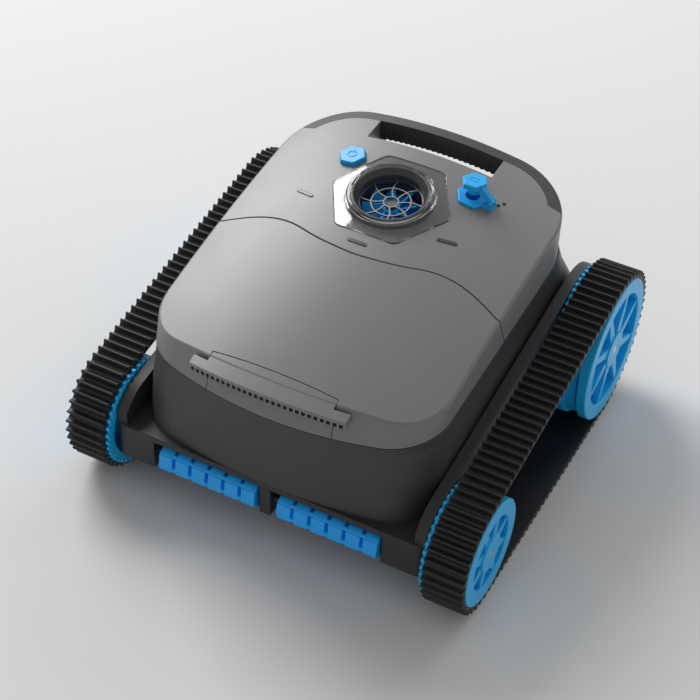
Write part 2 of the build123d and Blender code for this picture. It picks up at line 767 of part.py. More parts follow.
handle_strip = band_zone(0, band_depth)
grip_x = slot_half + 4
handle_grip = block(-grip_x, grip_x, body_rear - handle_band, body_rear + 5, 150, 300)
handle_grip -= under_crown(handle_depth)
handle = outer_form & (handle_strip + handle_grip)
scallops = int(2 * (slot_half - 6) / scallop_pitch)
for index in range(scallops + 1):
    x = -scallops * scallop_pitch / 2 + index * scallop_pitch
    z = crown_height(x, body_rear - handle_band) - handle_depth
    handle -= rod_z(scallop_r, x, body_rear - handle_band - 1.0, z - 2, z + 9)
parts["handle_bar"] = handle

pocket = block(-slot_half, slot_half, slot_front, body_rear + 10, pocket_floor_z, 300)
pocket_walls = block(-slot_half - 3, slot_half + 3, slot_front - 3, body_rear + 10, pocket_floor_z - 3, 300)
pocket_walls = (pocket_walls & shell_form(0.3, rounded=False)) - pocket

# ---------------------------------------------------------------- rear cover
outlet_plane = crown_plane(outlet_x, outlet_y)
button_plane = crown_plane(button_x, button_y)
socket_plane = crown_plane(socket_x, socket_y)


def hex_column(radius, rounding, low, high):
    """Upright hexagonal prism about the outlet's axis."""
    return outlet_plane * Pos(0, 0, low) * extrude(hexagon(radius, rounding), high - low)


cover = rear_shell - lid_zone(lid_gap / 2)
cover_adds = []
seat_top, seat_bottom = 2.0, 4.6
duct_outer_r = throat_r + duct_wall
cover -= hex_column(window_hex_r + 0.3, window_hex_round, -25, 20)
seat_layer = under_crown(seat_top) - under_crown(seat_bottom)
seat = hex_column(window_hex_r + 3, window_hex_round, -25, 20) & seat_layer
seat -= outlet_plane * Pos(0, 0, -5) * Cylinder(duct_outer_r + 0.2, 40)
cover_adds.append(seat)


def in_plane_disc(plane, radius, low, high):
    """Round piece along a plane's normal."""
    return plane * Pos(0, 0, (low + high) / 2) * Cylinder(radius, high - low)


def in_plane_hex(plane, radius, rounding, low, high):
    """Hexagonal piece along a plane's normal."""
    return plane * Pos(0, 0, low) * extrude(hexagon(radius, rounding), high - low)


# power button, its guide, spring and switch
guide_depth = 12.0
button_hole = in_plane_hex(button_plane, button_hex_r + moving_gap, 2.4, -guide_depth + 2, 10)
cover -= button_hole
guide = in_plane_hex(button_plane, button_hex_r + 2.4, 3.0, -guide_depth, -shell_wall + 0.8)
guide -= in_plane_hex(button_plane, button_hex_r + moving_gap + 0.3, 2.4, -guide_depth + 2, 10)
cover_adds.append(guide)
button_body = in_plane_hex(button_plane, button_hex_r, 2.0, -5.0, button_proud)
button_body = chamfer(button_body.faces().sort_by(Axis.Z)[-1].edges(), 0.8)
mark = in_plane_disc(button_plane, 4.6, button_proud - 0.5, button_proud + 1)
mark -= in_plane_disc(button_plane, 3.5, button_proud - 1, button_proud + 2)
mark -= button_plane * Pos(0, 4.2, button_proud) * Box(3.4, 4, 4)
mark += button_plane * Pos(0, 4.0, button_proud + 0.25) * Box(1.1, 4.4, 1.5)
parts["power_button"] = button_body - mark
parts["button_switch"] = in_plane_disc(button_plane, 3.0, -guide_depth + 2, -guide_depth + 4)
spring = in_plane_disc(button_plane, 6.0, -guide_depth + 2, -5.0)
parts["button_spring"] = spring - in_plane_disc(button_plane, 4.6, -guide_depth, 0)

# charge socket with its contacts
socket_sunk = 1.0
socket_base = in_plane_hex(socket_plane, socket_hex_r, 2.2, -socket_sunk, socket_proud)
socket_base = chamfer(socket_base.faces().sort_by(Axis.Z)[-1].edges(), 0.7)
socket_barrel_r = socket_bore_r + 2.6
socket_base += in_plane_disc(socket_plane, socket_barrel_r, -socket_depth - 2, 0.5)
socket_base -= in_plane_disc(socket_plane, socket_bore_r, -socket_depth, socket_proud + 1)
contact_r = 0.9
contact_length = 3.5  # flush with the socket's floor
contact_points = [(0.0, 3.0), (-2.6, -1.5), (2.6, -1.5)]
contact_middle = -socket_depth - contact_length / 2
contacts = []
for dx, dy in contact_points:
    contacts.append(socket_plane * Pos(dx, dy, contact_middle) * Cylinder(contact_r, contact_length))
    socket_base -= socket_plane * Pos(dx, dy, contact_middle) * Cylinder(contact_r, contact_length)
parts["charge_pins"] = Compound(contacts)
cover -= in_plane_disc(socket_plane, socket_barrel_r + 0.1, -20, 6)
cover -= in_plane_hex(socket_plane, socket_hex_r + 0.1, 2.2, -socket_sunk, 8)

# tether anchor: a small foot with two ears and a pin, part of the socket moulding
ear_half, ear_width, knuckle_r, tether_pin_r = 5.2, 1.8, 2.9, 1.4
foot_top = tether_z - knuckle_r - 0.5
foot = block(tether_x - 9, tether_x + 3, tether_y - ear_half, tether_y + ear_half, foot_top - 4, foot_top)
for sign in (1, -1):
    y0, y1 = sorted((tether_y + sign * (ear_half - ear_width), tether_y + sign * ear_half))
    foot += block(tether_x - 2.2, tether_x + 2.2, y0, y1, foot_top - 1, tether_z)
    foot += Pos(tether_x, (y0 + y1) / 2, tether_z) * Rot(90, 0, 0) * Cylinder(2.2, ear_width)
foot += Pos(tether_x, tether_y, tether_z) * Rot(90, 0, 0) * Cylinder(tether_pin_r, 2 * ear_half)
foot -= in_plane_disc(socket_plane, socket_bore_r, -socket_depth, socket_proud + 1)
foot -= under_crown(-0.2)
parts["charge_socket"] = socket_base + foot

# hexagonal cap on its strap, standing over the socket
cap_low_z = cap_top_z - cap_thickness
cap = Pos(socket_x, cap_y, cap_low_z) * extrude(hexagon(cap_hex_r, 2.0), cap_thickness)
cap = chamfer(cap.faces().sort_by(Axis.Z)[-1].edges(), 0.8)
stem_low_z = crown_height(socket_x, cap_y) + socket_proud + 2.0
cap += rod_z(5.4, socket_x, cap_y - 1.0, stem_low_z, cap_low_z + 0.5)
strap_half = ear_half - ear_width - 0.4
strap_points = [
    (socket_x + 7.5, cap_low_z + 1.5),
    (socket_x + 10.5, cap_low_z + 3.2),
    (tether_x + 2.4, tether_z + 1.4),
    (tether_x + 1.0, tether_z - 2.4),
    (tether_x - 2.4, tether_z - 0.6),
    (socket_x + 7.5, cap_low_z - 2.6),
]
strap_face = make_face(Polyline(*strap_points, close=True))
strap_plane = Plane(origin=(0, tether_y + strap_half, 0), x_dir=(1, 0, 0), z_dir=(0, -1, 0))
strap = extrude(strap_plane * strap_face, 2 * strap_half)
knuckle = Pos(tether_x, tether_y, tether_z) * Rot(90, 0, 0) * Cylinder(knuckle_r, 2 * strap_half)
cap += strap
cap += knuckle
cap -= Pos(tether_x, tether_y, tether_z) * Rot(90, 0, 0) * Cylinder(tether_pin_r + running_fit, 20)
cap_mark = Box(8.4, 5.0, 0.9) - Box(7.0, 3.6, 2)
cap -= Pos(socket_x, cap_y, cap_top_z) * cap_mark
parts["charge_cap"] = cap

# small lamps beside the socket, and one lens bar on the surface for each cleaning mode
lamp_rise = 0.3
lens_rise = 0.7
lamps = []
for x, y in ((88.2, 87.4), (84.6, 82.4)):
    top = crown_height(x, y)
    lamps.append(rod_z(lamp_r, x, y, top - shell_wall - 2, top + 3) & under_crown(-lamp_rise))
    cover -= rod_z(lamp_r + 0.05, x, y, top - 8, top + 6)
parts["status_lamps"] = Compound(lamps)
lens_layer = under_crown(-lens_rise) - under_crown(0)
lenses = []
for x, y, turn in mode_lens_places:
    column = extrude(SlotOverall(mode_lens_length, mode_lens_width), 80)
    lenses.append(Pos(x, y, 180) * Rot(0, 0, turn) * column & lens_layer)
parts["mode_lamps"] = Compound(lenses)

# ears for the lid's hinge pins, under the cover
ear_pad = 4.0
pins = []
for side in (1, -1):
    for offset in (-1, 1):
        centre = side * hinge_arm_x + offset * (hinge_arm_width / 2 + 1 + ear_pad / 2)
        x0, x1 = centre - ear_pad / 2, centre + ear_pad / 2
        ear = block(x0, x1, hinge_y - 4.5, hinge_y + 4.5, hinge_z - 2, 240)
        ear += rod_x(4.5, x0, x1, hinge_y, hinge_z)
        ear &= under_crown(shell_wall - 0.6)
        cover_adds.append(ear)
    reach = hinge_arm_width / 2 + 1 + ear_pad
    pins.append(rod_x(hinge_pin_r, side * hinge_arm_x - reach, side * hinge_arm_x + reach, hinge_y, hinge_z))
bar_zone = block(-slot_half - 4.2, slot_half + 4.2, body_rear - handle_band - 0.2, body_rear + 9, 150, 300)
bar_zone -= under_crown(handle_depth + 0.2)
strip_zone = band_zone(0.2, band_depth)
cover -= strip_zone
cover -= bar_zone
cover -= pocket
cover_adds.append(pocket_walls - strip_zone - bar_zone)
for piece in cover_adds:
    cover += piece
cover -= rod_x(hinge_pin_r, -80, 80, hinge_y, hinge_z)
parts["rear_cover"] = cover
parts["hinge_pins"] = Compound(pins)

# ---------------------------------------------------------------- front lid
lid = (lid_shell & lid_zone(-lid_gap / 2)) - block(
    -latch_half - body_gap, latch_half + body_gap, -260, latch_rear + latch_gap, 100, 260
)


def hinge_arm(centre):
    """Hooked arm that passes under the rear cover's edge and turns on the pin."""
    x0, x1 = centre - hinge_arm_width / 2, centre + hinge_arm_width / 2
    start, end = radians(166), radians(262)
    steps = 8
    angles = [start + (end - start) * k / steps for k in range(steps + 1)]
    outer = [(hinge_y + arm_outer_r * cos(a), hinge_z + arm_outer_r * sin(a)) for a in angles]
    inner = [(hinge_y + arm_inner_r * cos(a), hinge_z + arm_inner_r * sin(a)) for a in reversed(angles)]
    hook = side_prism(outer + inner, x0, x1)
    spoke_angle = radians(257)
    across = (-sin(spoke_angle) * 2.2, cos(spoke_angle) * 2.2)
    tip = (hinge_y + (arm_inner_r + 1) * cos(spoke_angle), hinge_z + (arm_inner_r + 1) * sin(spoke_angle))
    bar_points = [
        (hinge_y - across[0], hinge_z - across[1]),
        (hinge_y + across[0], hinge_z + across[1]),
        (tip[0] + across[0], tip[1] + across[1]),
        (tip[0] - across[0], tip[1] - across[1]),
    ]
    arm = hook + side_prism(bar_points, x0, x1) + rod_x(4.0, x0, x1, hinge_y, hinge_z)
    return arm - rod_x(hinge_pin_r + running_fit, x0 - 1, x1 + 1, hinge_y, hinge_z)


for side in (1, -1):
    lid += hinge_arm(side * hinge_arm_x) & under_crown(shell_wall - 1.2)
for side in (1, -1):
    x0, x1 = sorted((side * (latch_half + 2.5), side * (latch_half + 8)))
    boss = block(x0, x1, latch_pin_y - 4, latch_pin_y + 4, latch_pin_z - 3.5, 230)
    lid += boss & under_crown(shell_wall - 0.6)
lid -= rod_x(latch_pin_r, -latch_half - 7, latch_half + 7, latch_pin_y, latch_pin_z)
parts["front_lid"] = lid
parts["latch_pin"] = rod_x(latch_pin_r, -latch_half - 7, latch_half + 7, latch_pin_y, latch_pin_z)

# ---------------------------------------------------------------- outlet
window = under_crown(-window_proud) - under_crown(seat_top)
window &= hex_column(window_hex_r, window_hex_round, -25, 20)
ring_points = [
    (throat_r + 1.8, -1.4),
    (ring_outer_r, -1.4),
    (ring_outer_r - 1.2, ring_height - 2.0),
    (ring_outer_r - 2.8, ring_height - 0.4),
    (ring_outer_r - 4.6, ring_height),
    (throat_r + funnel_flare + 2.0, ring_height - 1.0),
    (throat_r + funnel_flare + 1.8, funnel_height),
    (throat_r + 1.8, 0.0),
]
ring_face = make_face(Polyline(*ring_points, close=True))
ring = revolve(Plane.XZ * ring_face, Axis.Z, revolution_arc=360)
window -= in_plane_disc(outlet_plane, ring_outer_r - 1.5, -10, 10)
window += outlet_plane * ring
parts["outlet_window"] = window

funnel_points = [
    (throat_r - 1.0, -4.0),
    (throat_r, 0.0),
    (throat_r + funnel_flare, funnel_height),
    (throat_r + funnel_flare + 1.6, funnel_height),
    (throat_r + 1.6, 0.0),
    (throat_r + 1.6, -4.0),
]
funnel = revolve(Plane.XZ * make_face(Polyline(*funnel_points, close=True)), Axis.Z, revolution_arc=360)
duct = in_plane_disc(outlet_plane, duct_outer_r, -duct_length, -1.6) + outlet_plane * funnel
duct -= in_plane_disc(outlet_plane, throat_r, -duct_length - 1, 0)
duct_flange = in_plane_disc(outlet_plane, duct_outer_r + 5, -9.0, -6.5)
duct_flange -= in_plane_disc(outlet_plane, throat_r, -10, 0)
parts["outlet_duct"] = duct + duct_flange

grille_low = -7.0
grille = in_plane_disc(outlet_plane, grille_r, grille_low, grille_low + 2)
grille -= in_plane_disc(outlet_plane, grille_r - grille_wire, grille_low - 1, grille_low + 3)
for radius in (grille_r * 0.62, grille_hub_r):
    loop = in_plane_disc(outlet_plane, radius + grille_wire / 2, grille_low, grille_low + 1.6)
    grille += loop - in_plane_disc(outlet_plane, radius - grille_wire / 2, grille_low - 1, grille_low + 3)
spoke_start, spoke_end = grille_hub_r, grille_r - 0.4
spoke_chord = spoke_end - spoke_start
spoke_bow = spoke_chord * 0.13
spoke_r = spoke_chord**2 / (8 * spoke_bow) + spoke_bow / 2
spoke_middle = (spoke_start + spoke_end) / 2
bend = Circle(spoke_r + grille_wire / 2) - Circle(spoke_r - grille_wire / 2)
bend = Pos(spoke_middle, spoke_bow - spoke_r) * bend
near_spoke = Pos(spoke_middle, spoke_bow / 2) * Rectangle(spoke_chord + 2, 2 * spoke_bow + 2)
arc = bend & near_spoke & (Circle(spoke_end) - Circle(spoke_start))
for index in range(8):
    spoke = outlet_plane * Pos(0, 0, grille_low) * Rot(0, 0, 45 * index + 12) * extrude(arc, 1.6)
    grille += spoke
parts["outlet_grille"] = grille

impeller_low, impeller_high = -24.0, -12.0
impeller = in_plane_disc(outlet_plane, impeller_r, impeller_low, impeller_low + 2)
impeller += in_plane_disc(outlet_plane, 8.0, impeller_low, impeller_high + 1)
for index in range(impeller_blades):
    blade = Rot(38, 0, 0) * Box(impeller_r - 1, 1.8, 15)
    blade = Pos(impeller_r / 2, 0, (impeller_low + impeller_high) / 2) * blade
    turn = 360 / impeller_blades * index
    trim = in_plane_disc(Plane.XY, impeller_r, impeller_low, impeller_high)
    impeller += outlet_plane * (Rot(0, 0, turn) * blade & trim)
impeller -= in_plane_disc(outlet_plane, pump_shaft_r + seat_fit, impeller_low - 1, impeller_high + 3)
parts["impeller"] = impeller
shaft_low = -90.0
pump_shaft = in_plane_disc(outlet_plane, pump_shaft_r, shaft_low, impeller_high + 3)
pump_shaft += in_plane_disc(outlet_plane, 5.0, impeller_high + 1.1, impeller_high + 4.5)
parts["pump_shaft"] = pump_shaft

# ---------------------------------------------------------------- sealed box and what it holds
box_half, box_y0, box_y1 = pump_box_half, pump_box_front, pump_box_rear
pump_box = block(-box_half, box_half, box_y0, box_y1, pump_box_bottom, pump_box_top)
pump_box = fillet(pump_box.edges().filter_by(Axis.Z), 10)
cavity = block(
    -box_half + box_wall,
    box_half - box_wall,
    box_y0 + box_wall,
    box_y1 - box_wall,
    pump_box_bottom + box_wall,
    pump_box_top + 1,
)
pump_box -= fillet(cavity.edges().filter_by(Axis.Z), 7.5)
for x, y in screw_points:
    pump_box += rod_z(boss_r - 0.5, x, y, pump_box_bottom, pump_box_bottom + 8)
    pump_box -= rod_z(screw_r, x, y, pump_box_bottom - 1, pump_box_bottom + 6)
parts["pump_box"] = pump_box
seal_height = 1.2
cover_low = pump_box_top + seal_height
outer_rim = block(-box_half, box_half, box_y0, box_y1, pump_box_top, cover_low)
outer_rim = fillet(outer_rim.edges().filter_by(Axis.Z), 10)
inner_rim = block(-box_half + 2, box_half - 2, box_y0 + 2, box_y1 - 2, pump_box_top - 1, cover_low + 1)
inner_rim = fillet(inner_rim.edges().filter_by(Axis.Z), 8)
parts["box_seal"] = outer_rim - inner_rim
box_lid = block(-box_half, box_half, box_y0, box_y1, cover_low, cover_low + 3)
box_lid = fillet(box_lid.edges().filter_by(Axis.Z), 10)
gland_r = 8.0
box_lid += in_plane_disc(outlet_plane, gland_r, -62, -52)
box_lid -= in_plane_disc(outlet_plane, pump_shaft_r + 0.3, -80, -40)
parts["box_cover"] = box_lid

motor_high = -66.0
pump_motor_r, pump_motor_length = 22.0, 56.0
pump_motor = in_plane_disc(outlet_plane, pump_motor_r, motor_high - pump_motor_length, motor_high)
pump_motor = chamfer(pump_motor.edges(), 1.5)
pump_motor -= in_plane_disc(outlet_plane, pump_shaft_r + running_fit, shaft_low - 1, motor_high + 1)
parts["pump_motor"] = pump_motor
battery = block(-50, 50, box_y0 + 10, box_y1 - 12, pump_box_bottom + 10, pump_box_bottom + 46)
parts["battery_pack"] = fillet(battery.edges().filter_by(Axis.X), 8)
board_y = box_y0 + box_wall + 4
board = block(-44, 44, board_y, board_y + 1.6, pump_box_bottom + 50, pump_box_top - 8)
for x, z, width, height in ((-24, 128, 16, 14), (8, 140, 22, 10), (30, 122, 10, 12), (-8, 118, 12, 6)):
    board += block(x - width / 2, x + width / 2, board_y + 1.6, board_y + 5.0, z - height / 2, z + height / 2)
parts["control_board"] = board

# ---------------------------------------------------------------- filter
basket_half, basket_y0, basket_y1 = 104.0, -150.0, -34.0
basket_low, basket_high, basket_wall = deck_z + 1.5, 150.0, 2.0
basket = block(-basket_half, basket_half, basket_y0, basket_y1, basket_low, basket_high)
basket = fillet(basket.edges().filter_by(Axis.Z), 22)
hollow = block(
    -basket_half + basket_wall,
    basket_half - basket_wall,
    basket_y0 + basket_wall,
    basket_y1 - basket_wall,
    basket_low + basket_wall,
    basket_high + 1,
)
basket -= fillet(hollow.edges().filter_by(Axis.Z), 22 - basket_wall)
for side in (1, -1):
    x0, x1 = sorted((side * (mouth_x0 + 4), side * (mouth_x1 - 4)))
    basket -= block(x0, x1, mouth_y0 + 2, mouth_y1 - 2, basket_low - 1, basket_low + basket_wall + 1)
pane_low, pane_high, pane_count, pane_gap = basket_low + 14, basket_high - 10, 5, 6.0
pane_span = 2 * (basket_half - 26)
pane_width = (pane_span - (pane_count - 1) * pane_gap) / pane_count
meshes = []
mesh_inset = 0.7
for wall_y in (basket_y0, basket_y1 - basket_wall):
    for index in range(pane_count):
        x0 = -pane_span / 2 + index * (pane_width + pane_gap)
        basket -= block(x0, x0 + pane_width, wall_y - 1, wall_y + basket_wall + 1, pane_low, pane_high)
        meshes.append(
            block(x0, x0 + pane_width, wall_y + mesh_inset, wall_y + mesh_inset + 0.6, pane_low, pane_high)
        )
parts["filter_basket"] = basket
parts["filter_mesh"] = Compound(meshes)

# ---------------------------------------------------------------- latch
latch = lid_shell & block(-latch_half, latch_half, -260, latch_rear, 100, 260)
lip_layer = under_crown(0.4) - under_crown(0.4 + lip_thickness)
lip_layer &= block(-lip_half, lip_half, -215, -120, 130, 230)
lip_outer = extrude(Pos(0, 0, 130) * body_outline(parting_z + 14, -lip_reach), 100)
lip_inner = extrude(Pos(0, 0, 129) * body_outline(parting_z + 20, -1.2), 102)
lip = (lip_outer - lip_inner) & lip_layer
bridge = extrude(Pos(0, 0, 130) * body_outline(parting_z + 14, -3.0), 100)
bridge -= extrude(Pos(0, 0, 129) * body_outline(parting_z + 14, 5.5), 102)
bridge &= block(-latch_half, latch_half, -215, -120, 130, 230)
latch += bridge & lip_layer
groove_count = 27
groove_bow = bow_r + lip_reach
groove_centre_y = body_front + front_lean * 14 + bow_r
for index in range(groove_count):
    x = (index - (groove_count - 1) / 2) * 2 * (lip_half - 4) / (groove_count - 1)
    y = groove_centre_y - sqrt(groove_bow**2 - x**2)
    top = crown_height(x, y) - 0.4 - lip_top_solid
    turn = degrees(atan2(x, groove_bow))
    lip -= Pos(x, y + 1.0, top - 5.0) * Rot(0, 0, turn) * Box(3.6, 7.0, 10.0)
latch += lip
knuckle_x = latch_half - 10
knuckle_room = shell_form(shell_wall - 0.6, rounded=False, leaning=True)
for x in (-knuckle_x, 0.0, knuckle_x):
    knuckle = rod_x(2.9, x - 4, x + 4, latch_pin_y, latch_pin_z)
    web = block(x - 4, x + 4, latch_pin_y - 14, latch_pin_y, latch_pin_z - 1.5, latch_pin_z + 1.5)
    latch += knuckle + (web & knuckle_room)
latch -= rod_x(latch_pin_r + running_fit, -latch_half - 1, latch_half + 1, latch_pin_y, latch_pin_z)
parts["lid_latch"] = latch

for name, shape in parts.items():
    export_step(shape, f"parts/{name}.step")
print(len(parts), "pieces written")
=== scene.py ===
# %% [markdown]
# # A tracked pool-cleaning robot, dressed for a studio picture
#
# The mechanical model of this cleaner is already finished: every shell, wheel, gear and pin is a
# separate solid with its real size, and the joints are known. This script loads that model as a
# frame that never moves, and then gives it its looks: rubber belts with rounded fins, soft brush
# paddles, moulded plastics, a clear window, and the light of a small studio.
#
# All lengths are metres, +X is to the cleaner's right, -Y is its front and +Z is up.

# %% Load the frame
import math

import bmesh
import bpy
from mathutils import Euler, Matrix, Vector


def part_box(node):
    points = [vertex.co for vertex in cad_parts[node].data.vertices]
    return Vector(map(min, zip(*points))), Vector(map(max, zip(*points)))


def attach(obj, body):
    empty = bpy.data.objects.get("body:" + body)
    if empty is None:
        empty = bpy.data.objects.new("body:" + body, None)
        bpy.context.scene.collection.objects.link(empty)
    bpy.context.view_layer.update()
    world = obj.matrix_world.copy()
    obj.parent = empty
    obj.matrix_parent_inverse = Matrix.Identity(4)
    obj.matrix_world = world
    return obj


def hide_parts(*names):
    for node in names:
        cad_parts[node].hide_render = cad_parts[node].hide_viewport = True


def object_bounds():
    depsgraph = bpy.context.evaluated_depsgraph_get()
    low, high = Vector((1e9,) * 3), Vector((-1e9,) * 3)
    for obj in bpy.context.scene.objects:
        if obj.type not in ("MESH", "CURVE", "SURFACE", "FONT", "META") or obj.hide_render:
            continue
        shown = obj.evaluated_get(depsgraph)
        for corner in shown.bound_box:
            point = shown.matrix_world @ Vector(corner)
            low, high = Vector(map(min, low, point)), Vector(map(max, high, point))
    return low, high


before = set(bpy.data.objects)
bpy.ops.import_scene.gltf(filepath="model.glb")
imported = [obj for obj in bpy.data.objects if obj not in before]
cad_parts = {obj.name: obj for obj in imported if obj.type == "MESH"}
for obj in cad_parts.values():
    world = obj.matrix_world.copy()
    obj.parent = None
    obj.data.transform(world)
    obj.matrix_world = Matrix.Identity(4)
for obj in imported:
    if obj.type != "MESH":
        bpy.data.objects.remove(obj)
cad_low, cad_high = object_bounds()
MM = 0.001
print("CAD box in millimetres:", [round(v / MM, 1) for v in cad_high - cad_low])


# %% [markdown]
# ## Small helpers
#
# A material is a graph of nodes. Writing `nodes.new(...)` and `links.new(...)` again and again
# hides what the graph does, so two tiny helpers do the typing: `node` makes a node and sets its
# inputs, and `wire` joins an output to an input. The numbers then read like a recipe.

# %% Node helpers
def node(tree, kind, **inputs):
    """A new node in a tree. Keyword names are input names with _ for spaces."""
    made = tree.nodes.new(kind)
    for name, value in inputs.items():
        made.inputs[name.replace("_", " ")].default_value = value
    return made


def wire(tree, source, target):
    """Join an output socket to an input socket."""
    tree.links.new(source, target)


def socket(group, name, kind, direction, value=None):
    """Add a named socket to a node group."""
    made = group.interface.new_socket(name=name, in_out=direction, socket_type=kind)
    if value is not None:
        made.default_value = value


def math_node(tree, operation, first, second):
    """A Math node whose inputs are sockets or numbers."""
    made = tree.nodes.new("ShaderNodeMath")
    made.operation = operation
    for index, value in enumerate((first, second)):
        if isinstance(value, bpy.types.NodeSocket):
            wire(tree, value, made.inputs[index])
        else:
            made.inputs[index].default_value = value
    return made.outputs[0]


# %% [markdown]
# ## Effects that several finishes share
#
# Moulded plastic and rubber are never perfectly even. Three effects appear on almost every
# piece, so each is built once as a node group:
#
# * **moulded grain**: the fine spark-eroded texture of the mould, as a height for bumps;
# * **mottle**: a slow, cloudy change of tone, because pigment is not mixed perfectly;
# * **soft edges**: a rounded normal near sharp edges, and a mask that says where edges are, so
#   that wear can lighten them; on the belt's edges this lightening is a painted highlight.
#
# Coordinates come from the object's own space, so that nothing slides when the camera moves.
# Sizes of grain and patches are in millimetres, and a texture's scale counts per metre.

# %% Group: moulded grain
MM_PER_METRE = 1000.0
NOISE_AND_CELLS = 0.5


def make_grain_group():
    """Height of a fine mould texture: a mix of small cells and noise."""
    group = bpy.data.node_groups.new("moulded_grain", "ShaderNodeTree")
    socket(group, "Grain Size", "NodeSocketFloat", "INPUT", 0.6)
    socket(group, "Height", "NodeSocketFloat", "OUTPUT")
    start = group.nodes.new("NodeGroupInput")
    end = group.nodes.new("NodeGroupOutput")
    place = group.nodes.new("ShaderNodeTexCoord")
    scale = math_node(group, "DIVIDE", MM_PER_METRE, start.outputs["Grain Size"])
    noise = node(group, "ShaderNodeTexNoise", Detail=2.0, Roughness=0.6)
    cells = group.nodes.new("ShaderNodeTexVoronoi")
    for texture in (noise, cells):
        wire(group, place.outputs["Object"], texture.inputs["Vector"])
        wire(group, scale, texture.inputs["Scale"])
    blend = group.nodes.new("ShaderNodeMix")
    blend.inputs["Factor"].default_value = NOISE_AND_CELLS
    wire(group, noise.outputs["Fac"], blend.inputs["A"])
    wire(group, cells.outputs["Distance"], blend.inputs["B"])
    wire(group, blend.outputs["Result"], end.inputs["Height"])
    return group


grain_group = make_grain_group()
print("node group", grain_group.name, "has", len(grain_group.nodes), "nodes")


# %% Group: mottle
NOISE_MIDDLE = 0.5


def make_mottle_group():
    """Colour and roughness that drift slowly over a piece."""
    group = bpy.data.node_groups.new("mottle", "ShaderNodeTree")
    socket(group, "Colour", "NodeSocketColor", "INPUT", (0.5, 0.5, 0.5, 1))
    socket(group, "Patch Size", "NodeSocketFloat", "INPUT", 60.0)
    socket(group, "Colour Change", "NodeSocketFloat", "INPUT", 0.06)
    socket(group, "Roughness", "NodeSocketFloat", "INPUT", 0.4)
    socket(group, "Roughness Change", "NodeSocketFloat", "INPUT", 0.06)
    socket(group, "Colour", "NodeSocketColor", "OUTPUT")
    socket(group, "Roughness", "NodeSocketFloat", "OUTPUT")
    start = group.nodes.new("NodeGroupInput")
    end = group.nodes.new("NodeGroupOutput")
    place = group.nodes.new("ShaderNodeTexCoord")
    clouds = node(group, "ShaderNodeTexNoise", Detail=4.0, Roughness=0.55)
    wire(group, place.outputs["Object"], clouds.inputs["Vector"])
    scale = math_node(group, "DIVIDE", MM_PER_METRE, start.outputs["Patch Size"])
    wire(group, scale, clouds.inputs["Scale"])
    drift = math_node(group, "SUBTRACT", clouds.outputs["Fac"], NOISE_MIDDLE)
    drift = math_node(group, "MULTIPLY", drift, 1 / NOISE_MIDDLE)
    brighter = math_node(group, "MULTIPLY", drift, start.outputs["Colour Change"])
    brighter = math_node(group, "ADD", brighter, 1.0)
    tint = node(group, "ShaderNodeHueSaturation")
    wire(group, start.outputs["Colour"], tint.inputs["Color"])
    wire(group, brighter, tint.inputs["Value"])
    rougher = math_node(group, "MULTIPLY", drift, start.outputs["Roughness Change"])
    rougher = math_node(group, "ADD", rougher, start.outputs["Roughness"])
    wire(group, tint.outputs["Color"], end.inputs["Colour"])
    wire(group, rougher, end.inputs["Roughness"])
    return group


mottle_group = make_mottle_group()
print("node group", mottle_group.name, "has", len(mottle_group.nodes), "nodes")


# %% Group: soft edges
EDGE_SAMPLES = 6
EDGE_GAIN = 4.0


def make_edge_group():
    """Rounded normal near edges, and a mask of where the edges are."""
    group = bpy.data.node_groups.new("soft_edges", "ShaderNodeTree")
    socket(group, "Radius", "NodeSocketFloat", "INPUT", 0.0006)
    socket(group, "Normal", "NodeSocketVector", "OUTPUT")
    socket(group, "Edge", "NodeSocketFloat", "OUTPUT")
    start = group.nodes.new("NodeGroupInput")
    end = group.nodes.new("NodeGroupOutput")
    round_over = group.nodes.new("ShaderNodeBevel")
    round_over.samples = EDGE_SAMPLES
    wire(group, start.outputs["Radius"], round_over.inputs["Radius"])
    shape = group.nodes.new("ShaderNodeNewGeometry")
    likeness = group.nodes.new("ShaderNodeVectorMath")
    likeness.operation = "DOT_PRODUCT"
    wire(group, round_over.outputs["Normal"], likeness.inputs[0])
    wire(group, shape.outputs["Normal"], likeness.inputs[1])
    edge = math_node(group, "SUBTRACT", 1.0, likeness.outputs["Value"])
    edge = math_node(group, "MULTIPLY", edge, EDGE_GAIN)
    edge = math_node(group, "MINIMUM", edge, 1.0)
    wire(group, round_over.outputs["Normal"], end.inputs["Normal"])
    wire(group, edge, end.inputs["Edge"])
    return group


edge_group = make_edge_group()
print("node group", edge_group.name, "has", len(edge_group.nodes), "nodes")


# %% [markdown]
# ## One recipe for moulded finishes
#
# Every plastic and rubber part follows the same plan. The mottle group gives the base colour and
# the roughness, the edge mask lightens edges (wear, and on the belt's edges a painted highlight),
# the grain group makes the bump, and the soft-edge normal goes underneath that bump. Each finish
# gives its colour, its roughness, the size of its grain and the strength of the bump; the other
# values suit most pieces.

# %% Moulded finish
EDGE_WEAR_AND_HIGHLIGHT = 0.5
GRAIN_DEPTH = 0.0002


def use_group(tree, group, **inputs):
    """Place a node group in a material and set its inputs."""
    made = tree.nodes.new("ShaderNodeGroup")
    made.node_tree = group
    for name, value in inputs.items():
        made.inputs[name.replace("_", " ")].default_value = value
    return made


def new_material(name):
    """A new material, its node tree and its Principled shader."""
    material = bpy.data.materials.new(name)
    material.use_nodes = True
    tree = material.node_tree
    shader = tree.nodes["Principled BSDF"]
    return material, tree, shader


